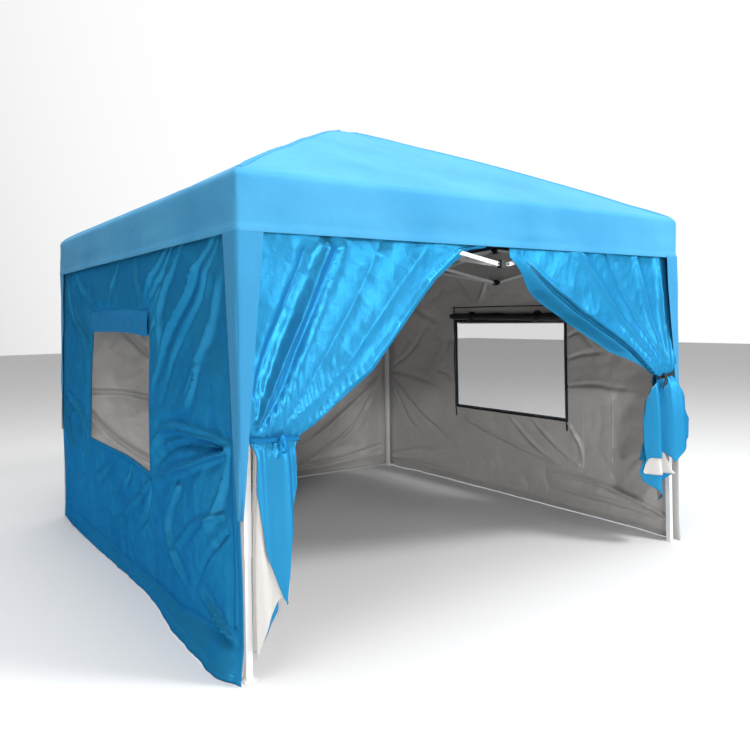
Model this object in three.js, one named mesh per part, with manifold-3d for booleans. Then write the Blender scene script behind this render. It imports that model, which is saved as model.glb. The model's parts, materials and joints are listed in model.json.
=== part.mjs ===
// Pop up canopy with a folding frame, a hipped roof cover, three walls and a pair of tied-back door curtains.
// Millimetres, +Z up. The origin is on the ground under the middle of the roof and the door faces -Y.
// Each side is made in its own frame: x points outwards, y runs along the side and the leg that shares the
// side's number stands at its +y end. The sides follow each other anticlockwise, seen from above.
import * as THREE from 'three';
import Module from 'manifold-3d';
import { mergeVertices } from 'three/addons/utils/BufferGeometryUtils.js';

const wasm = await Module();
wasm.setup();

// Roof cover
const canopyWidth = 3000;
const eaveHeight = 2000;
const peakHeight = 2668;
const valanceDrop = 240;
const eaveRound = 26;
const peakFlat = 60;
const hipRise = 0.14;
const panelSag = 22;
const panelShares = [0.2, 0.4, 0.6, 0.8, 0.94];
const rollShare = 0.35;
const clothThickness = 3;
const legCoverBottom = 640;
const legCoverTopWidth = 140;
const legCoverBottomWidth = 34;

// Folding frame
const legInset = 53;
const trussDepth = 250;
const upperPivotDrop = 70;
const pivotOffset = 34;
const barWidth = 20;
const barThickness = 10;
const tabThickness = 6;
const tabRadius = 9;
const pinRadius = 4;
const pinHeadRadius = 7;
const pinHeadHeight = 3;
const runningGap = 0.3;
const holeGap = 0.5;
const roundSteps = 8;

// How far a joined piece is sunk in, or a cut runs past the face that it opens
const overlap = 1;
const mergeTolerance = 0.001;

// Legs
const outerTube = 32;
const tubeWall = 2;
const outerLegBottom = 480;
const legOverlap = 150;
const footWidth = 50;
const footThickness = 4;
const pegHoleRadius = 4;
const pegHoleInset = 7;

// Brackets, sliders, hubs and mast
const bracketWidth = 42;
const bracketCap = 5;
const bracketSkirt = 34;
const sliderWidth = 42;
const sliderHeight = 44;
const middleWidth = 30;
const middleHeight = 40;
const hubWidth = 40;
const hubHeight = 40;
const mastRadius = 11;
const mastWall = 2;
const mastSocketFloor = 8;
const mastCapRadius = 42;
const mastCapDisc = 8;
const mastSleeveLength = 36;
const mastSleeveWall = 4;
const mastSides = 16;

// Walls and windows
const wallInset = 16;
const wallTop = 1920;
const wallLeanHeight = 150;
const hemHeight = 14;
const wallEndGap = 24;
const wallEndCalm = 160;
const foldFade = 0.5;
const foldClearance = 1;
const wallColumns = 20;
const wallRows = 13;
const windowWidth = 1130;
const windowHeight = 700;
const windowSill = 668;
const windowMargin = 90;
const leftWindowShift = -150;
const rightWindowShift = -70;
const paneThickness = 1;
const rolledFlapHeight = 105;
const rolledFlapDepth = 9;

// Door curtains
const curtainColumns = 16;
const curtainPleats = 4;
const curtainPleatDepth = 8;
const curtainEndGap = 30;

// Where each curtain's free edge runs: heights, and how far along the side from the middle of the door
const leftFreeEdge = [
  [120, -1300], [300, -1290], [440, -1275], [750, -1227], [935, -1224], [975, -1156], [1087, -980],
  [1185, -818], [1292, -704], [1449, -555], [1590, -429], [1750, -150], [1920, -80],
];
const rightFreeEdge = [
  [150, 1320], [223, 1300], [404, 1250], [700, 1232], [893, 1240], [1023, 1296], [1110, 1145],
  [1200, 960], [1299, 769], [1420, 520], [1550, 270], [1750, -20], [1920, -55],
];

// The main folds of each wall: start, end, how far the cloth stands out (or in) and how wide the fold is
const leftWallFolds = [
  [1400, 935, 560, 1500, 8, 90],
  [1400, 935, 600, 620, 9, 100],
  [1300, 1700, 620, 1120, -7, 90],
  [-300, 560, -120, 60, 8, 90],
  [200, 600, 380, 60, -7, 100],
  [-1350, 1600, -900, 300, 8, 110],
  [1000, 120, -1300, 120, 9, 70],
];
const rightWallFolds = [
  [-1250, 1700, -800, 500, 8, 110],
  [0, 1800, -260, 1520, 8, 90],
  [1350, 900, 650, 1350, 8, 100],
  [1350, 900, 700, 350, -7, 100],
  [100, 620, -150, 60, 8, 100],
  [-700, 600, -1100, 100, -7, 100],
];
const backWallFolds = [
  [-1380, 900, -500, 1650, 8, 110],
  [-1380, 900, -300, 300, -7, 110],
  [1380, 1600, 400, 700, 8, 120],
  [0, 1800, 300, 200, 8, 120],
  [900, 900, 1200, 60, -7, 100],
];

// Worked out from the sizes above
const halfWidth = canopyWidth / 2;
const legHalf = halfWidth - legInset;
const valanceInner = halfWidth - clothThickness;
const valanceBottom = eaveHeight - valanceDrop;
const wallPlane = halfWidth - wallInset;
const upperPivot = eaveHeight - upperPivotDrop;
const lowerPivot = upperPivot - trussDepth;
const barPitch = Math.hypot(legHalf - 2 * pivotOffset, trussDepth);
const layerNear = tabThickness / 2 + runningGap;
const layerMiddle = layerNear + barThickness / 2;
const layerFar = layerNear + barThickness + runningGap;
const innerTube = outerTube - 2 * tubeWall - 2 * runningGap;
const bracketTop = roofUnderside(legHalf + bracketWidth / 2, legHalf + bracketWidth / 2) - runningGap;
const mastCapTop = roofUnderside(0, 0) - runningGap;

const sideNames = ['front', 'right', 'back', 'left'];
const legNames = ['front_right', 'back_right', 'back_left', 'front_left'];
const sideEnds = [['left', 'right'], ['front', 'back'], ['right', 'left'], ['back', 'front']];

const finishes = {
  cover: { color: 0x3fa9e0, roughness: 0.62, metalness: 0 },
  wall: { color: 0x1f86c4, roughness: 0.6, metalness: 0 },
  film: { color: 0xb9c3c8, roughness: 0.12, metalness: 0, transparent: true, opacity: 0.45 },
  paint: { color: 0xf1f2f2, roughness: 0.38, metalness: 0.1 },
  steel: { color: 0xb9bcc0, roughness: 0.42, metalness: 0.9 },
  plastic: { color: 0x2b2c2e, roughness: 0.55, metalness: 0 },
};

const canopy = new THREE.Group();

function addMesh(parent, name, geometry, finish) {
  const mesh = new THREE.Mesh(geometry, new THREE.MeshStandardMaterial(finishes[finish]));
  mesh.name = name;
  parent.add(mesh);
  return mesh;
}

// A closed geometry as a solid that can be joined and cut, and back
function toSolid(geometry) {
  const bare = geometry.clone();
  bare.deleteAttribute('normal');
  bare.deleteAttribute('uv');
  const merged = mergeVertices(bare, mergeTolerance);
  const vertProperties = new Float32Array(merged.attributes.position.array);
  const triVerts = new Uint32Array(merged.index.array);
  return new wasm.Manifold(new wasm.Mesh({ numProp: 3, vertProperties, triVerts }));
}

function toGeometry(solid) {
  const mesh = solid.getMesh();
  const geometry = new THREE.BufferGeometry();
  geometry.setAttribute('position', new THREE.Float32BufferAttribute(Array.from(mesh.vertProperties), 3));
  geometry.setIndex(Array.from(mesh.triVerts));
  geometry.computeVertexNormals();
  return geometry;
}

function joined(solids) {
  return solids.reduce((whole, next) => whole.add(next));
}

function turned(solid, quarterTurns) {
  return toSolid(toGeometry(solid).rotateZ((quarterTurns * Math.PI) / 2));
}

// A block between a low and a high corner
function block(low, high) {
  const size = high.map((value, axis) => value - low[axis]);
  const middle = high.map((value, axis) => (value + low[axis]) / 2);
  return toSolid(new THREE.BoxGeometry(...size).translate(...middle));
}

// A square post about the z axis between two heights
function post(width, bottom, top) {
  return block([-width / 2, -width / 2, bottom], [width / 2, width / 2, top]);
}

// A round rod along y between two values of y, or along z between two heights
function rodAlongY(radius, from, to, x, z) {
  const rod = new THREE.CylinderGeometry(radius, radius, Math.abs(to - from), roundSteps);
  return toSolid(rod.translate(x, (from + to) / 2, z));
}

function rodAlongZ(radius, bottom, top, steps) {
  const rod = new THREE.CylinderGeometry(radius, radius, top - bottom, steps);
  return toSolid(rod.rotateX(Math.PI / 2).translate(0, 0, (bottom + top) / 2));
}

// Points on an arc in the plane of a shape
function arc(x, y, radius, from, to, steps) {
  return Array.from({ length: steps + 1 }, (_, step) => {
    const angle = from + ((to - from) * step) / steps;
    return new THREE.Vector2(x + radius * Math.cos(angle), y + radius * Math.sin(angle));
  });
}

// Height of the roof's upper face: four sagging panels that meet on slightly raised hips
function roofHeight(x, y) {
  const far = Math.max(Math.abs(x), Math.abs(y));
  const near = Math.min(Math.abs(x), Math.abs(y));
  const climb = (halfWidth - Math.max(far, peakFlat)) / (halfWidth - peakFlat);
  const hip = climb + hipRise * climb * (1 - climb);
  const sag = panelSag * Math.sin(Math.PI * climb) * (1 - (near / Math.max(far, peakFlat)) ** 2);
  const over = Math.max(0, far - (halfWidth - eaveRound)) / eaveRound;
  const roll = eaveRound * (1 - Math.sqrt(Math.max(0, 1 - over * over)));
  return eaveHeight + (peakHeight - eaveHeight) * hip - (far > peakFlat ? sag : 0) - roll;
}

function roofUnderside(x, y) {
  const stretch = halfWidth / valanceInner;
  return roofHeight(x * stretch, y * stretch) - clothThickness;
}

// All the space from a roof surface down to a level, as one solid with square sides
function spaceUnder(surface, half, bottom) {
  const rollStart = 1 - eaveRound / halfWidth;
  const rollMiddle = 1 - (rollShare * eaveRound) / halfWidth;
  const shares = [peakFlat / halfWidth, ...panelShares, rollStart, rollMiddle, 1];
  const lines = [...shares.map((share) => -share * half).reverse(), 0, ...shares.map((share) => share * half)];
  const count = lines.length;
  const points = [];
  const index = [];
  for (const level of [surface, () => bottom]) {
    for (const x of lines) {
      for (const y of lines) {
        points.push(x, y, level(x, y));
      }
    }
  }
  const below = count * count;
  const at = (i, j) => i * count + j;
  for (let i = 0; i < count - 1; i++) {
    for (let j = 0; j < count - 1; j++) {
      const corners = [at(i, j), at(i + 1, j), at(i + 1, j + 1), at(i, j + 1)];
      const alongHip = (lines[i] + lines[i + 1]) * (lines[j] + lines[j + 1]) > 0;
      const [a, b, c, d] = alongHip ? corners : [...corners.slice(1), corners[0]];
      index.push(a, b, c, a, c, d);
      index.push(a + below, c + below, b + below, a + below, d + below, c + below);
    }
  }
  const wall = (a, b) => index.push(a, a + below, b + below, a, b + below, b);
  for (let k = 0; k < count - 1; k++) {
    wall(at(k, 0), at(k + 1, 0));
    wall(at(count - 1, k), at(count - 1, k + 1));
    wall(at(k + 1, count - 1), at(k, count - 1));
    wall(at(0, k + 1), at(0, k));
  }
  const geometry = new THREE.BufferGeometry();
  geometry.setAttribute('position', new THREE.Float32BufferAttribute(points, 3));
  geometry.setIndex(index);
  return toSolid(geometry);
}

// A tapering strip that hangs from the valance over one face of a leg, at one end of a side
function legCoverStrip(end) {
  const top = valanceBottom + clothThickness;
  const outline = new THREE.Shape([
    new THREE.Vector2(end * halfWidth, legCoverBottom),
    new THREE.Vector2(end * halfWidth, top),
    new THREE.Vector2(end * (halfWidth - legCoverTopWidth), top),
    new THREE.Vector2(end * (halfWidth - legCoverBottomWidth), legCoverBottom),
  ]);
  const strip = new THREE.ExtrudeGeometry(outline, { depth: clothThickness, bevelEnabled: false });
  const alongSide = new THREE.Matrix4().makeBasis(
    new THREE.Vector3(0, 1, 0),
    new THREE.Vector3(0, 0, 1),
    new THREE.Vector3(1, 0, 0),
  );
  return toSolid(strip.applyMatrix4(alongSide).translate(valanceInner, 0, 0));
}

// The roof, its valance and the strips over the legs are sewn into one cover
function roofCover() {
  const outside = spaceUnder(roofHeight, halfWidth, valanceBottom);
  const inside = spaceUnder(roofUnderside, valanceInner, valanceBottom - clothThickness);
  const strips = sideNames.flatMap((_, side) => [-1, 1].map((end) => turned(legCoverStrip(end), side)));
  return toGeometry(joined([outside.subtract(inside), ...strips]));
}

// A flat bar with round ends, lying along x with its thickness along y, and a pin hole at each end
function barSolid(middleHole) {
  const end = barPitch / 2;
  const radius = barWidth / 2;
  const outline = new THREE.Shape([
    ...arc(end, 0, radius, -Math.PI / 2, Math.PI / 2, roundSteps / 2),
    ...arc(-end, 0, radius, Math.PI / 2, (3 * Math.PI) / 2, roundSteps / 2),
  ]);
  for (const x of middleHole ? [-end, 0, end] : [-end, end]) {
    const circle = arc(x, 0, pinRadius + holeGap, 0, 2 * Math.PI, roundSteps).slice(1);
    outline.holes.push(new THREE.Path(circle));
  }
  const bar = new THREE.ExtrudeGeometry(outline, { depth: barThickness, bevelEnabled: false });
  return toSolid(bar.translate(0, 0, -barThickness / 2).rotateX(Math.PI / 2));
}

// The bar that carries the middle pin of its cross: collar, pin and head stand on its +y face
function pinnedBar() {
  const face = barThickness / 2;
  const otherBar = 2 * layerMiddle - barThickness / 2;
  const headStart = otherBar + barThickness + runningGap;
  return joined([
    barSolid(false),
    rodAlongY(pinHeadRadius, face - runningGap, otherBar - runningGap, 0, 0),
    rodAlongY(pinRadius, face - runningGap, headStart + runningGap, 0, 0),
    rodAlongY(pinHeadRadius, headStart, headStart + pinHeadHeight, 0, 0),
  ]);
}

// A tab along x with a headed pin across it. The bar turns on the pin, on the tab's +y or -y face
function arm(start, side) {
  const reach = pivotOffset + tabRadius;
  const head = [layerFar, layerFar + pinHeadHeight].map((value) => side * value);
  return joined([
    block([start, -tabThickness / 2, -tabRadius], [reach, tabThickness / 2, tabRadius]),
    rodAlongY(pinRadius, 0, head[0] + side * runningGap, pivotOffset, 0),
    rodAlongY(pinHeadRadius, head[0], head[1], pivotOffset, 0),
  ]);
}

// Arms listed as quarter turns about z and the face of the tab that carries the bar, at a height
function armsAt(height, start, turnsAndSides) {
  const arms = turnsAndSides.map(([quarterTurns, side]) => turned(arm(start, side), quarterTurns));
  return toSolid(toGeometry(joined(arms)).translate(0, 0, height));
}

// Two bars that cross between x = from and x = to in the plane y = 0 of a frame
function addCross(frame, from, to, pinnedName, plainName, pinnedRises) {
  const slope = Math.atan2(trussDepth, to - from);
  const bars = [
    [pinnedName, pinnedBar(), -layerMiddle, pinnedRises ? slope : -slope],
    [plainName, barSolid(true), layerMiddle, pinnedRises ? -slope : slope],
  ];
  for (const [name, solid, layer, rise] of bars) {
    const mesh = addMesh(frame, name, toGeometry(solid), 'paint');
    mesh.position.set((from + to) / 2, layer, (upperPivot + lowerPivot) / 2);
    mesh.rotation.y = -rise;
  }
}

function topBracket() {
  const skirtBottom = upperPivot - bracketSkirt;
  const pocket = post(outerTube + 2 * runningGap, skirtBottom - overlap, bracketTop - bracketCap);
  const body = joined([
    post(bracketWidth, skirtBottom, bracketTop),
    armsAt(upperPivot, bracketWidth / 2 - overlap, [[-1, 1], [2, -1]]),
  ]);
  return toGeometry(body.subtract(pocket));
}

function slider() {
  const bottom = lowerPivot - sliderHeight / 2;
  const top = bottom + sliderHeight;
  const body = joined([
    post(sliderWidth, bottom, top),
    armsAt(lowerPivot, sliderWidth / 2 - overlap, [[-1, -1], [2, 1]]),
  ]);
  return toGeometry(body.subtract(post(outerTube + 2 * runningGap, bottom - overlap, top + overlap)));
}

function outerLeg() {
  const top = bracketTop - bracketCap - runningGap;
  const bore = post(outerTube - 2 * tubeWall, outerLegBottom - overlap, top + overlap);
  return toGeometry(post(outerTube, outerLegBottom, top).subtract(bore));
}

// The inner leg is a tube that stands on a welded foot plate with a hole for a ground peg
function innerLeg() {
  const top = outerLegBottom + legOverlap;
  const peg = footWidth / 2 - pegHoleInset;
  const pegHole = rodAlongZ(pegHoleRadius, -overlap, footThickness + overlap, roundSteps);
  const foot = joined([post(innerTube, footThickness / 2, top), post(footWidth, 0, footThickness)]);
  const bore = post(innerTube - 2 * tubeWall, footThickness, top + overlap);
  return toGeometry(foot.subtract(bore).subtract(toSolid(toGeometry(pegHole).translate(-peg, -peg, 0))));
}

function upperMiddleBracket() {
  const bottom = upperPivot - middleHeight / 2;
  return toGeometry(joined([
    post(middleWidth, bottom, bottom + middleHeight),
    armsAt(upperPivot, 0, [[1, 1], [-1, -1], [2, -1]]),
  ]));
}

function lowerMiddleBracket() {
  const bottom = lowerPivot - middleHeight / 2;
  return toGeometry(joined([
    post(middleWidth, bottom, bottom + middleHeight),
    armsAt(lowerPivot, 0, [[1, -1], [-1, 1], [2, 1]]),
  ]));
}

function hub(height, side, boreBottom) {
  const bottom = height - hubHeight / 2;
  const turns = sideNames.map((_, index) => [index, side]);
  const body = joined([
    post(hubWidth, bottom, bottom + hubHeight),
    armsAt(height, hubWidth / 2 - overlap, turns),
  ]);
  const bore = rodAlongZ(mastRadius + runningGap, boreBottom, bottom + hubHeight + overlap, mastSides);
  return toGeometry(body.subtract(bore));
}

function mast() {
  const bottom = lowerPivot - hubHeight / 2 + mastSocketFloor + runningGap;
  const top = mastCapTop - mastCapDisc - runningGap;
  const bore = rodAlongZ(mastRadius - mastWall, bottom - overlap, top + overlap, mastSides);
  return toGeometry(rodAlongZ(mastRadius, bottom, top, mastSides).subtract(bore));
}

function mastCap() {
  const discBottom = mastCapTop - mastCapDisc;
  const sleeveBottom = discBottom - mastSleeveLength;
  const sleeveRadius = mastRadius + runningGap + mastSleeveWall;
  const sleeve = rodAlongZ(sleeveRadius, sleeveBottom, discBottom + overlap, mastSides);
  const bore = rodAlongZ(mastRadius + runningGap, sleeveBottom - overlap, discBottom, mastSides);
  return toGeometry(rodAlongZ(mastCapRadius, discBottom, mastCapTop, mastSides).add(sleeve).subtract(bore));
}

// A sheet of cloth from a grid of points [x, y, z], y rising with i and z with j, with its second layer one
// cloth thickness further in and a rim round every free edge. Cells that isOpen names are left out.
function sheet(columns, rows, pointAt, isOpen = () => false) {
  const layerSize = (columns + 1) * (rows + 1);
  const at = (i, j) => i * (rows + 1) + j;
  const points = [];
  const index = [];
  const edges = new Set();
  for (const depth of [0, clothThickness]) {
    for (let i = 0; i <= columns; i++) {
      for (let j = 0; j <= rows; j++) {
        const [x, y, z] = pointAt(i, j);
        points.push(x - depth, y, z);
      }
    }
  }
  for (let i = 0; i < columns; i++) {
    for (let j = 0; j < rows; j++) {
      if (isOpen(i, j)) {
        continue;
      }
      const corners = [at(i, j), at(i + 1, j), at(i + 1, j + 1), at(i, j + 1)];
      for (const [a, b, c] of [[0, 1, 2], [0, 2, 3]].map((three) => three.map((k) => corners[k]))) {
        index.push(a, b, c, a + layerSize, c + layerSize, b + layerSize);
      }
      corners.forEach((corner, k) => edges.add(`${corner} ${corners[(k + 1) % 4]}`));
    }
  }
  for (const edge of edges) {
    const [a, b] = edge.split(' ').map(Number);
    if (!edges.has(`${b} ${a}`)) {
      index.push(b, a, a + layerSize, b, a + layerSize, b + layerSize);
    }
  }
  const geometry = new THREE.BufferGeometry();
  geometry.setAttribute('position', new THREE.Float32BufferAttribute(points, 3));
  geometry.setIndex(index);
  const whole = mergeVertices(geometry.toNonIndexed(), mergeTolerance);
  whole.computeVertexNormals();
  return whole;
}

// Evenly spaced grid lines, the nearest of which move onto the wanted values
function gridLines(from, to, count, wanted) {
  const lines = Array.from({ length: count + 1 }, (_, k) => from + ((to - from) * k) / count);
  for (const value of wanted) {
    const gaps = lines.map((line) => (wanted.includes(line) ? Infinity : Math.abs(line - value)));
    lines[gaps.indexOf(Math.min(...gaps.slice(1, -1)))] = value;
  }
  return lines.sort((a, b) => a - b);
}

// How far one fold pushes the cloth out at (u, z): full at its start, fading and widening towards its end
function foldAt(u, z, [startU, startZ, endU, endZ, depth, spread]) {
  const length = Math.hypot(endU - startU, endZ - startZ);
  const along = ((u - startU) * (endU - startU) + (z - startZ) * (endZ - startZ)) / length ** 2;
  const clamped = THREE.MathUtils.clamp(along, 0, 1);
  const away = Math.hypot(u - startU - clamped * (endU - startU), z - startZ - clamped * (endZ - startZ));
  const fade = Math.cos((clamped * Math.PI) / 2) ** foldFade;
  return depth * fade * Math.exp(-((away / (spread * (1 + clamped))) ** 2));
}

// How much a wall leans out at its top, where it is fixed behind the valance
function lean(z) {
  const share = THREE.MathUtils.smoothstep(z, wallTop - wallLeanHeight, wallTop);
  return share * (valanceInner - runningGap - wallPlane);
}

// A wall with its main folds. A window, given by its middle, stays flat and open
function wallSheet(folds, windowMiddle) {
  const end = legHalf + wallEndGap;
  const hasWindow = windowMiddle !== undefined;
  const windowSides = hasWindow ? [windowMiddle - windowWidth / 2, windowMiddle + windowWidth / 2] : [];
  const windowTop = windowSill + windowHeight;
  const flapTop = windowTop + rolledFlapHeight;
  const levels = [windowSill, windowTop, windowTop + rolledFlapHeight / 2, flapTop];
  const across = gridLines(-end, end, wallColumns, windowSides);
  const up = gridLines(hemHeight, wallTop, wallRows, hasWindow ? levels : []);
  const toWindow = (u, z) => {
    const beside = Math.max(windowSides[0] - u, u - windowSides[1], 0);
    const above = Math.max(windowSill - z, z - windowTop, 0);
    return Math.hypot(beside, above);
  };
  const pointAt = (i, j) => {
    const u = across[i];
    const z = up[j];
    const calm = THREE.MathUtils.smoothstep(end - Math.abs(u), 0, wallEndCalm);
    const flat = hasWindow ? THREE.MathUtils.smoothstep(toWindow(u, z), 0, windowMargin) : 1;
    const raised = folds.reduce((sum, fold) => sum + foldAt(u, z, fold), 0);
    const onFlap = hasWindow && u >= windowSides[0] && u <= windowSides[1] && z > windowTop && z < flapTop;
    const flap = onFlap ? rolledFlapDepth : 0;
    const out = THREE.MathUtils.clamp(raised, -wallInset / 2, wallInset - clothThickness - foldClearance);
    const hang = 1 - THREE.MathUtils.smoothstep(z, wallTop - 2 * wallLeanHeight, wallTop - wallLeanHeight);
    return [wallPlane + lean(z) + (onFlap ? flap : out * calm * flat) * hang, u, z];
  };
  const isOpen = (i, j) => {
    const u = (across[i] + across[i + 1]) / 2;
    const z = (up[j] + up[j + 1]) / 2;
    return hasWindow && u > windowSides[0] && u < windowSides[1] && z > windowSill && z < windowTop;
  };
  return sheet(wallColumns, wallRows, pointAt, isOpen);
}

// A clear film that fills a window with a small gap all round
function windowPane(windowMiddle) {
  const middle = wallPlane - clothThickness / 2;
  const half = windowWidth / 2 - runningGap;
  return toGeometry(block(
    [middle - paneThickness / 2, windowMiddle - half, windowSill + runningGap],
    [middle + paneThickness / 2, windowMiddle + half, windowSill + windowHeight - runningGap],
  ));
}

// A door curtain between its leg and its free edge. It gathers into pleats where it is drawn in
function doorCurtain(freeEdge, legEnd) {
  const legEdge = legEnd * (halfWidth - curtainEndGap);
  const widest = Math.abs(freeEdge.at(-1)[1] - legEdge);
  const pointAt = (i, j) => {
    const [z, free] = freeEdge[j];
    const [low, high] = legEnd < 0 ? [legEdge, free] : [free, legEdge];
    const share = i / curtainColumns;
    const gathered = 1 - (high - low) / widest;
    const pleat = curtainPleatDepth * gathered * Math.cos(2 * Math.PI * curtainPleats * share);
    return [wallPlane + lean(z) + pleat, low + (high - low) * share, z];
  };
  return sheet(curtainColumns, freeEdge.length - 1, pointAt);
}

addMesh(canopy, 'roof_cover', roofCover(), 'cover');
addMesh(canopy, 'upper_hub', hub(upperPivot, -1, upperPivot - hubHeight), 'plastic');
addMesh(canopy, 'lower_hub', hub(lowerPivot, 1, lowerPivot - hubHeight / 2 + mastSocketFloor), 'plastic');
addMesh(canopy, 'mast', mast(), 'steel');
addMesh(canopy, 'mast_cap', mastCap(), 'plastic');

const sides = sideNames.map((name, index) => {
  const side = new THREE.Group();
  side.rotation.z = ((index - 1) * Math.PI) / 2;
  canopy.add(side);

  const legPlace = new THREE.Group();
  legPlace.position.set(legHalf, legHalf, 0);
  side.add(legPlace);
  addMesh(legPlace, `outer_leg_${legNames[index]}`, outerLeg(), 'paint');
  addMesh(legPlace, `inner_leg_${legNames[index]}`, innerLeg(), 'paint');
  addMesh(legPlace, `top_bracket_${legNames[index]}`, topBracket(), 'plastic');
  addMesh(legPlace, `slider_${legNames[index]}`, slider(), 'plastic');

  const middlePlace = new THREE.Group();
  middlePlace.position.set(legHalf, 0, 0);
  side.add(middlePlace);
  addMesh(middlePlace, `${name}_upper_bracket`, upperMiddleBracket(), 'plastic');
  addMesh(middlePlace, `${name}_lower_bracket`, lowerMiddleBracket(), 'plastic');

  const inner = pivotOffset;
  const outer = legHalf - pivotOffset;
  addCross(side, inner, outer, `${name}_centre_bar_high`, `${name}_centre_bar_low`, false);

  const alongSide = new THREE.Group();
  alongSide.position.set(legHalf, 0, 0);
  alongSide.rotation.z = Math.PI / 2;
  side.add(alongSide);
  const [low, high] = sideEnds[index];
  addCross(alongSide, inner, outer, `${name}_bar_high_${high}`, `${name}_bar_low_${high}`, true);
  addCross(alongSide, -outer, -inner, `${name}_bar_high_${low}`, `${name}_bar_low_${low}`, false);
  return side;
});

const [front, right, back, left] = sides;
addMesh(left, 'left_wall', wallSheet(leftWallFolds, leftWindowShift), 'wall');
addMesh(left, 'left_window', windowPane(leftWindowShift), 'film');
addMesh(right, 'right_wall', wallSheet(rightWallFolds, rightWindowShift), 'wall');
addMesh(right, 'right_window', windowPane(rightWindowShift), 'film');
addMesh(back, 'back_wall', wallSheet(backWallFolds), 'wall');
addMesh(front, 'left_curtain', doorCurtain(leftFreeEdge, -1), 'cover');
addMesh(front, 'right_curtain', doorCurtain(rightFreeEdge, 1), 'cover');

export default canopy;
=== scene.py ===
import json
from math import pi, radians

import bpy
import numpy as np
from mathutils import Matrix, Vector

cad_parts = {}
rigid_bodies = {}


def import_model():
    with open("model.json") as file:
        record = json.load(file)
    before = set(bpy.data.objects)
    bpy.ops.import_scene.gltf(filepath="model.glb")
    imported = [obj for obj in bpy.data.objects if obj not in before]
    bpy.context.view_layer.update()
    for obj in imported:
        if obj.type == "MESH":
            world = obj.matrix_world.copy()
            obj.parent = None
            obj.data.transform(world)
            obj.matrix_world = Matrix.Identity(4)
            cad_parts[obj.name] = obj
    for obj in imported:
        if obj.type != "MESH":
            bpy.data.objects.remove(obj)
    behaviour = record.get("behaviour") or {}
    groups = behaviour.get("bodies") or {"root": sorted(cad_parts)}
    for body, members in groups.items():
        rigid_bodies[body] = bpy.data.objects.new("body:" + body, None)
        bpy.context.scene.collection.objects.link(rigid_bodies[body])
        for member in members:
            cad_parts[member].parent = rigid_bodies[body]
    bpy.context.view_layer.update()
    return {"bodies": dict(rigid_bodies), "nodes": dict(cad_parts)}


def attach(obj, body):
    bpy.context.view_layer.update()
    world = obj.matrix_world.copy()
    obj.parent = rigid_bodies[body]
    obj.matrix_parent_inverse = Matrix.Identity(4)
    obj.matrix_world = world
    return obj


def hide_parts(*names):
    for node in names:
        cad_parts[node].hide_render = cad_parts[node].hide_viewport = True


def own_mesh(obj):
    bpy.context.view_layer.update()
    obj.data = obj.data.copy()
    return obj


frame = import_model()
print("frame loaded")

# Sizes that the cloth pieces share, the same as in the CAD model
canopy = {
    "half": 1.5,  # from the middle to the valance
    "eave": 2.0,
    "peak": 2.668,
    "peakFlat": 0.06,
    "eaveRound": 0.026,
    "hipRise": 0.14,
    "panelSag": 0.022,
    "valanceBottom": 1.76,
    "legHalf": 1.447,  # from the middle to a leg's axis
    "wallPlane": 1.484,
    "wallTop": 1.92,
    "foldedShare": 0.093,  # what is left of a side's length when the frame is closed
}

# The camera stands at the near left corner and looks along the door, as in the photograph
camera = {
    "place": (-2.672, -3.999, 1.417),
    "turn": (radians(90.18), 0.0146, radians(-34.34)),
    "lens": 34.08,
    "shift": (0.031, -0.079),
}


def addObject(name, data):
    # an object of the scene, at the origin
    made = bpy.data.objects.new(name, data)
    bpy.context.scene.collection.objects.link(made)
    return made


lens = bpy.data.cameras.new("camera")
lens.lens, lens.sensor_width = camera["lens"], 36
lens.shift_x, lens.shift_y = camera["shift"]
viewer = addObject("camera", lens)
viewer.location, viewer.rotation_euler = camera["place"], camera["turn"]
bpy.context.scene.camera = viewer


def hexColour(text):
    # sRGB hex to linear red, green, blue and a full alpha
    parts = np.array([int(text[k:k + 2], 16) for k in (0, 2, 4)]) / 255
    linear = np.where(parts <= 0.04045, parts / 12.92, ((parts + 0.055) / 1.055) ** 2.4)
    return (*linear, 1)


def addNode(tree, kind, sockets=None, **settings):
    # one shader node: its settings, then each socket gets a value or a link
    made = tree.nodes.new("ShaderNode" + kind)
    for name, value in settings.items():
        setattr(made, name, value)
    for name, value in (sockets or {}).items():
        if isinstance(value, bpy.types.NodeSocket):
            tree.links.new(value, made.inputs[name])
        else:
            made.inputs[name].default_value = value
    return made


def newMaterial(name, **values):
    # a material with its tree, and a function that links outputs to its shader's sockets
    made = bpy.data.materials.new(name)
    made.use_nodes = True
    tree = made.node_tree
    inputs = tree.nodes["Principled BSDF"].inputs
    for socket, value in values.items():
        inputs[socket.replace("_", " ")].default_value = value

    def finish(**outputs):
        for socket, output in outputs.items():
            tree.links.new(output, inputs[socket.replace("_", " ")])
        return made

    return tree, finish


def wavePeriod(metres):
    # a wave texture of scale 1 repeats each 2 pi / 20
    return 2 * pi / 20 / metres


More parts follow.
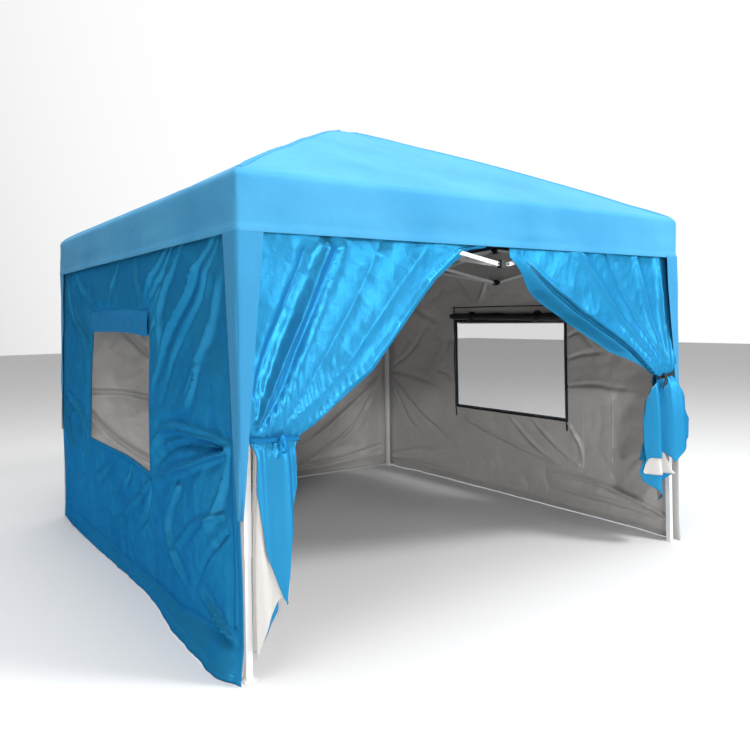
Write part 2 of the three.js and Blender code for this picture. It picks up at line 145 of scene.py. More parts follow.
def wovenCloth(name, colour, worn, weave, crinkle, roughness, **values):
    # woven polyester: threads that cross, fine crinkles from being packed, and patches that are a little paler
    tree, finish = newMaterial(name, **values)
    flat = addNode(tree, "UVMap", uv_map="cloth").outputs["UV"]
    place = addNode(tree, "TexCoord").outputs["Object"]
    warp, weft = (addNode(tree, "TexWave", {"Vector": flat, "Scale": wavePeriod(weave)},
                          bands_direction=way).outputs["Fac"] for way in "XY")
    threads = addNode(tree, "Math", {0: warp, 1: weft}, operation="MULTIPLY")
    patches = addNode(tree, "TexNoise", {"Vector": place, "Scale": 2.2, "Detail": 3.0})
    mix = addNode(tree, "Mix", {0: patches.outputs["Fac"], 6: hexColour(colour), 7: hexColour(worn)},
                  data_type="RGBA")
    small = addNode(tree, "TexNoise", {"Vector": place, "Scale": 1 / crinkle, "Detail": 4.0,
                                       "Roughness": 0.55, "Distortion": 0.6}).outputs["Fac"]
    creased = addNode(tree, "Bump", {"Height": small, "Strength": 0.35, "Distance": 0.006})
    bump = addNode(tree, "Bump", {"Height": threads.outputs[0], "Strength": 0.25, "Distance": 0.0004,
                                  "Normal": creased.outputs["Normal"]})
    gloss = addNode(tree, "MapRange", {0: small, 3: roughness - 0.06, 4: roughness + 0.08})
    return finish(Base_Color=mix.outputs[2], Normal=bump.outputs["Normal"], Roughness=gloss.outputs[0])


# Oxford polyester of the roof: matt and even, threads 0.5 mm apart, drawn 3 mm apart so that they can show
oxfordLook = {"Sheen_Weight": 0.08, "Sheen_Roughness": 0.4, "Sheen_Tint": hexColour("b8def2"),
              "Specular_IOR_Level": 0.06}
oxfordCloth = wovenCloth("blue oxford polyester", "2d81b1", "52a2cb", 0.003, 0.05, 0.5, **oxfordLook)
# The same cloth on the leg covers and hip tapes, made darker as painted shade: the valance's overhang shades the
# leg covers
shadedOxfordCloth = wovenCloth("darker blue oxford polyester", "3484b1", "3f8dba", 0.003, 0.05, 0.5, **oxfordLook)
# Taffeta of the walls: thinner and shinier, so its folds catch light. Threads 0.3 mm apart, drawn 2.5 mm apart
taffetaCloth = wovenCloth("blue taffeta polyester", "2685b6", "338fbf", 0.0025, 0.035, 0.36,
                          Metallic=0.55, Specular_IOR_Level=0.0, Specular_Tint=hexColour("3fa8f0"))
# Silver coat on the inside of the cloth: grey, a little metallic, with patches that are a little paler
silverCoat = wovenCloth("silver polyurethane coating", "c6c3c0", "d2cfcb", 0.0025, 0.04, 0.42, Metallic=0.25)
# The roof's underside: a dull grey blue coat, made much darker than the silver coat as painted shade under the roof
roofLiningShade = wovenCloth("thin coating under the roof", "2f3a47", "394451", 0.0025, 0.04, 0.5, Metallic=0.1)
# Darker blue cloth of the window flaps and the left curtain's tie
flapCloth = wovenCloth("deep blue polyester flap", "1c7ab2", "2482ba", 0.0025, 0.03, 0.5, Metallic=0.3,
                       Specular_IOR_Level=0.0)
# Black cloth of the rolled blinds and of the window's inner binding: matt
blindCloth = wovenCloth("black polyester blind", "141517", "1d1e20", 0.0025, 0.03, 0.6)


def plainMaterial(name, colour, roughness, grain, depth, **values):
    # a moulded or painted face: one colour with a fine grain that breaks its gloss
    tree, finish = newMaterial(name, Base_Color=hexColour(colour), **values)
    place = addNode(tree, "TexCoord").outputs["Object"]
    speckle = addNode(tree, "TexNoise", {"Vector": place, "Scale": 1 / grain, "Detail": 3.0})
    broad = addNode(tree, "TexNoise", {"Vector": place, "Scale": 9.0, "Detail": 2.0})
    gloss = addNode(tree, "MapRange", {0: broad.outputs["Fac"], 3: roughness - 0.07, 4: roughness + 0.07})
    bump = addNode(tree, "Bump", {"Height": speckle.outputs["Fac"], "Strength": 0.3, "Distance": depth})
    return finish(Roughness=gloss.outputs[0], Normal=bump.outputs["Normal"])


# Powder coated steel: white, half gloss, with an orange peel of about 3 mm
powderCoat = plainMaterial("white powder coated steel", "e8e9ea", 0.34, 0.003, 0.0003, Coat_Weight=0.2)
# Galvanised steel of the mast: grey and dull, spangle of about 8 mm
galvanised = plainMaterial("galvanised steel tube", "b9bdc0", 0.42, 0.008, 0.0002, Metallic=0.85)
# Moulded nylon: black with a spark eroded grain of about 1.5 mm
mouldedNylon = plainMaterial("black moulded nylon", "17181a", 0.5, 0.0015, 0.0002)
# Polypropylene webbing: black, ribbed across at 2 mm
webbing = plainMaterial("black polypropylene webbing", "101113", 0.62, 0.002, 0.0005)
# Clear vinyl: thin, glossy, a little grey, with soft waves of about 60 mm
vinylFilm = plainMaterial("clear vinyl film", "6f7072", 0.12, 0.06, 0.0015, Alpha=0.18, IOR=1.53)

slotMaterials = {
    "cover_cloth": oxfordCloth, "wall_cloth": taffetaCloth, "window_film": vinylFilm,
    "white_paint": powderCoat, "mast_tube": galvanised, "black_plastic": mouldedNylon,
}
print("materials made")


def ease(x, low, high):
    # 0 up to low, 1 from high on, 3 t^2 - 2 t^3 between
    t = np.clip((x - low) / (high - low), 0, 1)
    return t * t * (3 - 2 * t)


def bell(x, middle, width):
    # 1 at the middle, exp(-1) one width away from it
    return np.exp(-((x - middle) / width) ** 2)


def patchNoise(x, y, seed):
    # random heights from -1 to 1 on whole numbers, eased between the four around each point
    heights = np.random.default_rng(seed).uniform(-1, 1, (64, 64))
    i, j = np.floor(x).astype(int), np.floor(y).astype(int)
    a, b = ease(x - i, 0, 1), ease(y - j, 0, 1)
    low = heights[i % 64, j % 64] * (1 - a) + heights[(i + 1) % 64, j % 64] * a
    high = heights[i % 64, (j + 1) % 64] * (1 - a) + heights[(i + 1) % 64, (j + 1) % 64] * a
    return low * (1 - b) + high * b


def crumple(x, y, size, seed):
    # octaves of 0.5 - |noise|, each half as wide and high and turned by a radian: creases between soft dimples
    total = np.zeros(np.broadcast(x, y).shape)
    for octave in range(4):
        c, s = np.cos(octave + 0.4), np.sin(octave + 0.4)
        finer = 2 ** octave / size
        turned = patchNoise((x * c - y * s) * finer, (x * s + y * c) * finer, seed + octave)
        total += (0.5 - abs(turned)) / 2 ** octave
    return total


def readTable(x, rows, column=1):
    # straight lines between the rows of a table, by its first column
    table = np.array(sorted(rows))
    return np.interp(x, table[:, 0], table[:, column])


def pathLengths(path):
    # distance travelled at each point of a path
    return np.append(0, np.cumsum(np.linalg.norm(np.diff(path, axis=0), axis=1)))


def smoothPath(points, count):
    # a Catmull Rom curve through the points, at count even steps of their number
    points = np.array(points, float)
    points = np.vstack([2 * points[0] - points[1], points, 2 * points[-1] - points[-2]])
    t = np.linspace(0, len(points) - 3 - 1e-9, count)
    k, f = t.astype(int), (t % 1)[:, None]
    a, b, c, d = points[k], points[k + 1], points[k + 2], points[k + 3]
    return 0.5 * (2 * b + (c - a) * f + (2 * a - 5 * b + 4 * c - d) * f ** 2 + (3 * b - a - 3 * c + d) * f ** 3)


def foldHeight(u, z, folds, fade=0.9, narrow=1.0):
    # each fold is a ridge along its path: a crest between a bell and exp(-d/w), less a shallow hollow twice as
    # wide. It is narrow at its start and wider towards its end, where it fades
    total = np.zeros(np.broadcast(u, z).shape)
    for depth, width, *path in folds:
        line = smoothPath(np.reshape(path, (-1, 2)), 2 * len(path))
        steps = np.hypot(*np.diff(line, axis=0).T)
        reach = np.append(0, np.cumsum(steps)) / steps.sum()
        nearest, share = np.full(total.shape, 9.0), np.zeros(total.shape)
        for k, step in enumerate(steps):
            (au, az), (bu, bz) = line[k], line[k + 1]
            t = np.clip(((u - au) * (bu - au) + (z - az) * (bz - az)) / step ** 2, 0, 1)
            away = np.hypot(u - au - t * (bu - au), z - az - t * (bz - az))
            closer = away < nearest
            nearest = np.where(closer, away, nearest)
            share = np.where(closer, reach[k] + t * (reach[k + 1] - reach[k]), share)
        spread = width / 1000 * narrow * (0.45 + 0.6 * share)
        crest = 0.3 * bell(nearest, 0, spread) + 0.7 * np.exp(-1.3 * nearest / spread)
        profile = crest - 0.35 * bell(nearest, 0, spread * 2.1)
        total += depth / 1000 * profile * (1 - fade * ease(share, 0.5, 1))
    return total


# cosine and sine of each side's turn
sideTurns = {"front": (0, -1), "right": (1, 0), "back": (0, 1), "left": (-1, 0)}


def onSide(side, out, along, up):
    # a point given as distance out from the middle, along the side, and height
    c, s = sideTurns[side]
    out, along, up = np.broadcast_arrays(out, along, up)
    return np.stack([out * c - along * s, out * s + along * c, up], -1)


def thicken(piece, thick, lining=0):
    # the sheet gets its thickness inwards, and the inner face takes the material of the next slot where lining is 1
    shell = piece.modifiers.new("thickness", "SOLIDIFY")
    shell.thickness, shell.offset, shell.material_offset = thick, -1, lining


def gridPiece(name, points, materials, uv=None, around=False, looped=False, capped=False, holes=None, thick=0):
    # a grid of points, rows by columns, becomes quads that face along columns x rows. around joins the last
    # column to the first, looped the last row to the first, capped closes both end rows, holes leaves faces out
    rows, columns = points.shape[:2]
    index = np.arange(rows * columns).reshape(rows, columns)
    if around:
        index = np.hstack([index, index[:, :1]])
    if looped:
        index = np.vstack([index, index[:1]])
    corners = np.stack([index[:-1, :-1], index[:-1, 1:], index[1:, 1:], index[1:, :-1]], -1)
    if uv is None:
        lines = [np.vstack([points[0], points[0][:1]]) if around else points[0],
                 np.vstack([points[:, 0], points[:1, 0]]) if looped else points[:, 0]]
        uv = np.stack(np.meshgrid(*map(pathLengths, lines)), -1)
    uvCorners = np.stack([uv[:-1, :-1], uv[:-1, 1:], uv[1:, 1:], uv[1:, :-1]], 2)
    if holes is not None:
        corners, uvCorners = corners[~holes], uvCorners[~holes]
    used, corners = np.unique(corners.reshape(-1, 4), return_inverse=True)
    faces = corners.reshape(-1, 4).tolist()
    loops = uvCorners.reshape(-1, 2)
    if capped:
        faces += [index[0, :columns][::-1].tolist(), index[-1, :columns].tolist()]
        loops = np.vstack([loops, uv[0, :columns][::-1], uv[-1, :columns]])
    mesh = bpy.data.meshes.new(name)
    mesh.from_pydata(points.reshape(-1, 3)[used].tolist(), [], faces)
    mesh.uv_layers.new(name="cloth").data.foreach_set("uv", loops.astype(np.float32).ravel())
    mesh.polygons.foreach_set("use_smooth", np.ones(len(faces), bool))
    mesh.update()
    for material in materials:
        mesh.materials.append(material)
    piece = addObject(name, mesh)
    if thick:
        thicken(piece, thick, len(materials) - 1)
    return piece


def sweep(path, profile, up=(0, 0, 1)):
    # the profile, (across, upward), carried along the path and kept square to it
    path = np.array(path, float)
    ahead = np.gradient(path, axis=0)
    ahead /= np.linalg.norm(ahead, axis=1)[:, None]
    across = np.cross(np.array(up, float), ahead)
    across /= np.linalg.norm(across, axis=1)[:, None]
    upward = np.cross(ahead, across)
    profile = np.array(profile, float)
    return path[:, None] + profile[:, :1] * across[:, None] + profile[:, 1:] * upward[:, None]


def flatProfile(width, thickness):
    # a strap's section, a flat oval with eight points
    w, t = width / 2, thickness / 2
    return [(w, -t / 2), (w, t / 2), (w - t, t), (t - w, t), (-w, t / 2), (-w, -t / 2), (t - w, -t), (w - t, -t)]


# The closed frame: how far each side has come in, and how the cloth lies outside the legs
folded = {
    "travel": canopy["legHalf"] * (1 - canopy["foldedShare"]),
    "outer": 1.52,  # cloth of the sides lies down towards this plane, seen from the open frame
    "depth": 0.3,  # what is left of its folds' depth
    "room": 0.03,  # the leg covers stay this much further out
    "roofRoom": 0.033,  # and the roof's edge this much
    "patchRise": 0.023,  # share of the mast's drop that the peak's patch stays behind, 15 mm
    "steps": 4000,  # weights are rounded to this, which is 0.3 mm of the travel
}


def hookTo(piece, body, weights):
    # the piece's points follow a body by their weight
    group = piece.vertex_groups.new(name=body)
    weights = np.broadcast_to(weights, len(piece.data.vertices))
    level = np.rint(np.clip(weights, 0, 1) * folded["steps"]).astype(int)
    order = np.argsort(level, kind="stable")
    for members in np.split(order, np.flatnonzero(np.diff(level[order])) + 1):
        if level[members[0]]:
            group.add(members.tolist(), level[members[0]] / folded["steps"], "REPLACE")
    hook = piece.modifiers.new(body, "HOOK")
    hook.object = frame["bodies"][body]
    hook.vertex_group = body


def sidePiece(side, name, points, materials, slot="wall_cloth", **options):
    # cloth of a side rides on its bracket. It narrows towards the side's middle as the frame closes, and its folds
    # lie flatter: the hub's share of each point is (outer - out) (1 - depth) / travel
    piece = gridPiece(name, points, materials, **options)
    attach(piece, side + "_upper_bracket")
    c, s = sideTurns[side]
    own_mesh(piece)
    places = np.empty(len(piece.data.vertices) * 3)
    piece.data.vertices.foreach_get("co", places)
    out = places.reshape(-1, 3) @ np.array([c, s, 0])
    hookTo(piece, "hub", (folded["outer"] - out) * (1 - folded["depth"]) / folded["travel"])
    return piece


for node in frame["nodes"].values():
    kind = node.data.materials[0].name if node.data.materials else ""
    for slot, material in slotMaterials.items():
        if slot in kind or kind in slot and kind:
            node.data.materials.clear()
            node.data.materials.append(material)
            break
print("frame painted")

# The roof: rings from the valance's lower edge up to the peak, closed around the four corners
roof = {
    "cornerRound": 0.022,
    "alongSide": 70,  # points of each side
    "hemHeight": 0.028,
    "hemRise": 0.0016,
    "seamRise": 0.006,  # hips are felled seams that stand a little proud
    "seamWidth": 0.011,
    "creaseDepth": 0.0035,  # creases pulled from the corners
    "dentDepth": 0.006,
    "crumpleDepth": 0.0025,
    "waveDepth": 0.005,  # slow waves of the valance
    "streakDepth": 0.0035,
    "puckerDepth": 0.004,
    "thickness": 0.0012,
    "tapeRise": 0.0022,  # hip tapes over the cloth
    "tapeEdge": 0.0016,  # and their edges lower by this
    "dropFrom": 2.034,  # cloth above this drops with the mast, so the corners stay over their brackets
}
peakCap = {"radius": 0.045, "base": 0.001, "crown": 0.010, "rings": 10, "points": 32}


def roofHeight(far, share):
    # straight climb + hipRise c (1 - c) - panelSag sin(pi c) (1 - share^2) - the eave's quarter round
    climb = (canopy["half"] - np.maximum(far, canopy["peakFlat"])) / (canopy["half"] - canopy["peakFlat"])
    hip = climb + canopy["hipRise"] * climb * (1 - climb)
    sag = canopy["panelSag"] * np.sin(pi * climb) * (1 - share ** 2)
    over = np.maximum(0, far - canopy["half"] + canopy["eaveRound"]) / canopy["eaveRound"]
    roll = canopy["eaveRound"] * (1 - np.sqrt(np.maximum(0, 1 - over ** 2)))
    return canopy["eave"] + (canopy["peak"] - canopy["eave"]) * hip - sag - roll


def roofRings():
    # each ring is a square of half size far with rounded corners, its points closer together near them
    half, bottom, eaveRound, hem = canopy["half"], canopy["valanceBottom"], canopy["eaveRound"], roof["hemHeight"]
    low = np.concatenate([bottom + np.array([0, 0.002, hem - 0.002, hem + 0.001]),
                          np.linspace(bottom + 0.045, canopy["eave"] - eaveRound - 0.004, 14)])
    bend = np.linspace(0, pi / 2, 8)[1:]
    far = np.concatenate([np.full(len(low), half), half - eaveRound * (1 - np.cos(bend)),
                          np.linspace(half - eaveRound - 0.006, 0.003, 84)])[:, None]
    even = np.linspace(-1, 1, roof["alongSide"])
    share = np.sin(even * pi / 2) * 0.35 + even * 0.65
    turn = np.linspace(0, pi / 2, 6)[1:-1]
    # one side: the straight run, then a quarter round to the next side
    radius = np.minimum(roof["cornerRound"], far * 0.25)
    straight = np.stack(np.broadcast_arrays(far, share * (far - radius)), -1)
    curve = np.stack([far - radius + radius * np.cos(turn), far - radius + radius * np.sin(turn)], -1)
    part = np.concatenate([straight, curve], 1)
    ring = np.concatenate([part @ np.array([[c, s], [-s, c]]) for c, s in ((1, 0), (0, 1), (-1, 0), (0, -1))], 1)
    across = np.tile(np.concatenate([share, np.ones(len(turn))]), 4)[None, :]
    height = roofHeight(far, across)
    height[:len(low)] = low[:, None]
    return ring[..., 0], ring[..., 1], height, far, len(low)


x, y, height, far, lowRows = roofRings()
half, eave = canopy["half"], canopy["eave"]
onTop = ease(height, eave - 0.02, eave + 0.05)
height += roof["seamRise"] * bell(abs(abs(x) - abs(y)), 0, roof["seamWidth"]) * onTop
# pulled creases that start at the corners, and soft dents across the panels
fromCorner = np.hypot(abs(x) - half, abs(y) - half)
angle = np.arctan2(half - abs(y), half - abs(x) + 1e-6)
height += roof["creaseDepth"] * bell(fromCorner, 0.16, 0.16) * np.cos(angle * 15) * onTop
height += roof["dentDepth"] * patchNoise(x * 3.1, y * 3.1, 3) * onTop * (1 - ease(height, 2.55, 2.66))
height += roof["crumpleDepth"] * crumple(x, y, 0.30, 11) * onTop
# the valance: a turned up hem, slow waves, upright streaks, and puckers under each corner
hem = np.zeros_like(x)
hem[:lowRows] = np.where(np.arange(lowRows) < 3, roof["hemRise"], 0)[:, None]
wave = roof["waveDepth"] * patchNoise(x * 2.3 + y * 1.1, y * 2.3 - x * 1.1, 5) * (1 - ease(height, 1.78, 1.96))
streak = roof["streakDepth"] * patchNoise((x + y) * 1.3 + (x - y) * 0.4, height * 17, 8) \
    * ease(height, 1.79, 1.82) * (1 - ease(height, 1.95, 1.985)) * ease(fromCorner, 0.02, 0.2)
pucker = roof["puckerDepth"] * bell(height, 1.93, 0.05) * np.cos(fromCorner * 160) * np.exp(-fromCorner / 0.09)
grow = 1 + (hem + wave + streak + pucker) / half * (1 - ease(height, eave - 0.04, eave - 0.01))
roofPlaces = np.stack([x * grow, y * grow, height], -1)
upward = np.append(0, np.cumsum(np.hypot(np.diff(far[:, 0]), np.diff(height[:, roof["alongSide"] // 2]))))
sideways = np.append(np.cumsum(np.hypot(np.diff(x[0]), np.diff(y[0]))), 4 * 2 * half)
uv = np.stack(np.meshgrid(np.append(0, sideways), upward), -1)
roofPlaces[-1] = roofPlaces[-1].mean(0)  # the last ring shrinks to a point
# the roof's inside takes the grey blue lining that is darkened as painted shade
roofCloth = gridPiece("roof_cloth", roofPlaces, [oxfordCloth, roofLiningShade], uv=uv, around=True)

# a little patch is sewn over the peak and rides on the mast
turn = np.linspace(0, 2 * pi, peakCap["points"] + 1)[:-1]
radii = np.linspace(1, 0.02, peakCap["rings"])[:, None]
capHeight = canopy["peak"] + peakCap["base"] + peakCap["crown"] * np.sqrt(np.maximum(0, 1 - radii ** 2))
capPlaces = np.stack(np.broadcast_arrays(peakCap["radius"] * np.cos(turn) * radii,
                                         peakCap["radius"] * np.sin(turn) * radii, capHeight), -1)
peakPatch = gridPiece("roof_peak_patch", capPlaces, [oxfordCloth], around=True, capped=True)
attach(peakPatch, "mast")
hookTo(peakPatch, "hub", folded["patchRise"])


def followFrame(piece, places):
    # a piece of the roof comes in with the four sides and drops with the mast
    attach(piece, "hub")
    share = 1 - folded["roofRoom"] / folded["travel"]
    for body, out in (("right", places[..., 0]), ("left", -places[..., 0]),
                      ("back", places[..., 1]), ("front", -places[..., 1])):
        hookTo(piece, body + "_upper_bracket", np.clip(out / canopy["legHalf"], 0, 1).ravel() * share)
    hookTo(piece, "mast", (places[..., 2].ravel() - roof["dropFrom"]) / (canopy["peak"] - roof["dropFrom"]))


followFrame(roofCloth, roofPlaces)
thicken(roofCloth, roof["thickness"], 1)
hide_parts("roof_cover")

# Each hip is felled and covered by a narrow tape of the oxford cloth with painted shade, it bends with the roof
perSide = roofPlaces.shape[1] // 4
for k, corner in enumerate(("back_right", "back_left", "front_left", "front_right")):
    columns = np.arange(perSide * (k + 1) - 5, perSide * (k + 1) + 1) % roofPlaces.shape[1]
    strip = roofPlaces[lowRows + 6:-4, columns] + np.array([0, 0, roof["tapeRise"]])
    strip[:, [0, -1], 2] -= roof["tapeEdge"]
    hipTape = gridPiece("roof_hip_tape_" + corner, strip, [shadedOxfordCloth])
    followFrame(hipTape, strip)
    thicken(hipTape, 0.001)
print("roof made")

# Leg covers: a strip sewn under each corner of the valance, folded round the leg, that tapers downwards
legCover = {
    "face": 1.5015,  # from the middle, just outside the valance
    "top": 1.772,
    "bottom": 0.64,
    "topWidth": 0.14,  # of each half, along its face
    "bottomWidth": 0.034,
    "round": 0.018,
    "bulge": 0.004,
    "thickness": 0.001,
}


def coverWidth(z):
    # how far a leg cover reaches along its face at a height
    return np.interp(z, [legCover["bottom"], legCover["top"]], [legCover["bottomWidth"], legCover["topWidth"]])


strip = np.linspace(-1, 1, 49)[None, :]
level = np.linspace(legCover["bottom"], legCover["top"], 90)[:, None]
# distance back from the corner along each face, with the corner rounded
reach = abs(strip) * coverWidth(level)
soft = np.sqrt(reach ** 2 + legCover["round"] ** 2) - legCover["round"]
cornerBack = legCover["round"] * 0.35 * bell(reach, 0, legCover["round"])
legCorners = {"front_right": (1, -1), "back_right": (1, 1), "back_left": (-1, 1), "front_left": (-1, -1)}
for seed, (leg, (signX, signY)) in enumerate(legCorners.items(), 20):
    bulge = legCover["bulge"] * patchNoise(strip * 2.2 + 7, level * 5, seed) * ease(legCover["top"] - level, 0, 0.2)
    face = legCover["face"] + bulge
    px = signX * (face - np.where(strip < 0, soft, 0) - cornerBack)
    py = signY * (face - np.where(strip > 0, soft, 0) - cornerBack)
    places = np.stack(np.broadcast_arrays(px, py, level), -1)
    if signX * signY > 0:
        places = places[:, ::-1]
    # the leg cover takes the oxford cloth that is darkened as painted shade
    cover = gridPiece("leg_cover_" + leg, places, [shadedOxfordCloth, silverCoat], thick=legCover["thickness"])
    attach(cover, "leg_" + leg)
    hookTo(cover, "hub", folded["room"] / folded["travel"])
print("leg covers made")

# Walls: taffeta sheets with silver inside. A fold is (depth mm, width mm, then along and height of each point of
# its path in metres), depth above 0 stands out. A pull is (along, height, pull along, pull up). The skirt is how
# far the cloth flares out below the skirt line, both by (along, height)
walls = {
    "left": {
        "window": -0.15,
        "seed": 31,
        "skirt": [(-1.49, 0.004), (0.0, 0.012), (0.4, 0.018), (0.63, 0.036), (0.85, 0.054), (1.28, 0.054),
                  (1.42, 0.034), (1.49, 0.014)],
        "skirtLine": [(-1.49, 0.11), (-0.48, 0.07), (0.15, 0.06), (0.73, 0.07), (1.25, 0.12), (1.49, 0.145)],
        "pulls": [(-0.715, 1.368, 0.06, -0.005), (0.415, 1.368, 0.03, -0.018), (0.415, 0.668, 0.005, -0.028),
                  (-0.715, 0.668, -0.04, 0.0)],
        "folds": [
            (18, 45, -1.42, 1.78, -1.13, 1.53, -0.88, 1.32, -0.79, 1.12),
            (14, 40, -1.16, 1.8, -0.86, 1.63, -0.6, 1.5),
            (12, 45, -0.07, 1.78, -0.21, 1.62, -0.3, 1.5),
            (12, 45, 0.22, 1.78, 0.24, 1.64, 0.28, 1.5),
            (-20, 30, 0.84, 1.8, 0.52, 1.56, 0.3, 1.46),
            (18, 40, 0.74, 1.8, 0.47, 1.61, 0.27, 1.5),
            (16, 45, 0.95, 1.8, 0.63, 1.52, 0.55, 1.3, 0.5, 1.1),
            (22, 45, 1.27, 1.78, 0.98, 1.54, 0.69, 1.34, 0.46, 1.05),
            (-16, 40, 1.3, 1.74, 1.09, 1.48, 0.82, 1.27, 0.62, 1.02),
            (14, 60, 1.38, 1.7, 1.22, 1.4, 1.00, 1.14, 0.84, 0.98),
            (30, 40, 1.38, 0.92, 1.07, 0.925, 0.8, 0.92, 0.61, 0.88, 0.45, 0.77),
            (-18, 35, 1.36, 0.89, 0.96, 0.86, 0.67, 0.79, 0.5, 0.72),
            (26, 45, 1.38, 0.9, 1.07, 0.8, 0.79, 0.72, 0.45, 0.62),
            (16, 45, 1.39, 0.91, 1.32, 0.76, 1.2, 0.58, 1.00, 0.44),
            (16, 40, 0.43, 0.64, 0.17, 0.46, -0.2, 0.25, -0.5, 0.16),
            (12, 35, -0.2, 0.65, -0.42, 0.53, -0.68, 0.39),
            (22, 45, -1.42, 0.93, -0.99, 0.84, -0.74, 0.64),
            (18, 45, -1.42, 0.9, -1.3, 0.72, -1.05, 0.5),
            (14, 50, 0.85, 0.66, 0.7, 0.46, 0.78, 0.3, 0.94, 0.2),
            (22, 35, 1.43, 0.15, 1.25, 0.2, 1.08, 0.235),
            (12, 50, -1.4, 0.12, -1.1, 0.3, -0.8, 0.42),
            (14, 30, 0.12, 0.65, -0.02, 0.5, -0.3, 0.36),
            (-14, 35, 0.44, 0.6, 0.36, 0.42, 0.12, 0.24),
            (14, 35, 1.3, 0.62, 1.02, 0.52, 0.72, 0.3),
            (-12, 35, 1.36, 0.56, 1.16, 0.4, 1.02, 0.24),
            (12, 30, -0.74, 1.32, -0.9, 1.4, -1.12, 1.62),
            (-12, 30, 0.44, 1.36, 0.58, 1.5, 0.66, 1.7),
            (12, 30, 1.1, 1.22, 0.98, 1.06, 0.74, 0.98),
        ],
    },
    "right": {
        "window": -0.07,
        "seed": 41,
        "skirt": [(-1.49, 0.01), (-0.9, 0.03), (0.0, 0.02), (0.9, 0.04), (1.49, 0.01)],
        "skirtLine": [(-1.49, 0.12), (-1.2, 0.06), (-0.95, 0.04), (0.0, 0.05), (1.49, 0.08)],
        "pulls": [],
        "folds": [
            (-20, 30, 0.4, 0.56, 0.08, 0.47, -0.26, 0.39, -0.59, 0.32),
            (-18, 30, -0.1, 0.62, -0.37, 0.42, -0.6, 0.33),
            (-18, 28, -0.3, 0.64, -0.55, 0.46, -0.74, 0.35),
            (-14, 28, -0.64, 0.66, -0.74, 0.51, -0.77, 0.38),
            (-24, 35, -1.42, 0.13, -1.18, 0.2, -0.85, 0.26, -0.5, 0.25),
            (-20, 30, -1.42, 0.11, -1.23, 0.13, -0.93, 0.15, -0.5, 0.15),
            (14, 30, -0.66, 1.26, -0.76, 1.29, -0.9, 1.16),
            (14, 30, -0.66, 1.1, -0.79, 1.14, -0.98, 1.16),
            (14, 30, -0.62, 0.9, -0.86, 0.93, -1.01, 0.92, -1.2, 0.92),
            (-16, 35, 0.09, 1.86, 0.15, 1.67, 0.23, 1.53),
            (-16, 35, 0.54, 1.8, 0.41, 1.62, 0.31, 1.51),
            (22, 35, 1.42, 0.86, 1.1, 0.62, 0.86, 0.47, 0.6, 0.34),
            (18, 35, 1.42, 0.82, 1.18, 0.5, 0.94, 0.34),
            (18, 35, 1.42, 0.9, 0.93, 0.84, 0.6, 0.76),
            (16, 35, 1.42, 0.94, 1.15, 1.1, 0.9, 1.34),
            (-18, 35, 1.42, 0.08, 1.07, 0.12, 0.32, 0.1),
            (16, 35, 1.42, 0.12, 0.94, 0.24, 0.49, 0.32),
            (14, 40, 0.75, 0.95, 0.62, 0.91, 0.55, 0.84),
            (18, 50, -1.3, 1.78, -1.1, 1.4, -1.02, 1.1),
            (16, 50, 1.38, 1.78, 1.05, 1.5, 0.72, 1.36),
        ],
    },
    "back": {
        "window": None,
        "seed": 51,
        "skirt": [(-1.49, 0.01), (-0.6, 0.045), (0.3, 0.02), (1.0, 0.05), (1.49, 0.01)],
        "skirtLine": [(-1.49, 0.1), (0.0, 0.06), (1.49, 0.09)],
        "pulls": [],
        "folds": [
            (24, 40, -1.4, 0.88, -1.08, 0.64, -0.76, 0.44, -0.4, 0.24),
            (22, 40, -1.4, 0.84, -1.14, 0.45, -0.82, 0.25, -0.48, 0.1),
            (18, 40, -1.4, 0.2, -1.07, 0.14, -0.75, 0.11, -0.3, 0.1),
            (18, 40, -1.4, 0.95, -1.15, 0.95, -0.8, 0.8, -0.3, 0.7),
            (20, 50, -1.36, 1.78, -1.00, 1.4, -0.6, 1.15, -0.2, 1.00),
            (16, 60, -0.4, 1.8, -0.2, 1.3, -0.1, 0.9),
            (16, 60, 0.45, 1.8, 0.3, 1.2, 0.42, 0.6, 0.36, 0.2),
            (20, 50, 1.36, 1.78, 1.05, 1.36, 0.72, 1.06, 0.4, 0.92),
            (24, 40, 1.4, 0.9, 1.00, 0.86, 0.6, 0.7, 0.2, 0.46),
            (22, 40, 1.4, 0.88, 1.16, 0.58, 0.9, 0.36, 0.55, 0.16),
            (14, 50, 0.02, 1.8, 0.05, 1.5, 0.00, 1.1),
        ],
    },
}
panel = {
    "end": 1.490,
    "bottom": 0.004,
    "topPlane": 1.4962,  # the wall is sewn to the valance here
    "windowWidth": 1.13,
    "windowHeight": 0.70,
    "windowSill": 0.668,
    "flapHeight": 0.10,  # cloth under the flap stays flat
    "calm": 0.10,  # beside a leg cover the folds start within this
    "foldDepth": 2.4,  # of the tables' depth
    "crumpleDepth": 0.018,
    "columns": 268,
    "rows": 170,
    "thickness": 0.001,
}


def windowEdges(wall):
    # the opening's two ends along the wall, its sill and its head
    reach, sill = panel["windowWidth"] / 2, panel["windowSill"]
    return wall["window"] - reach, wall["window"] + reach, sill, sill + panel["windowHeight"]


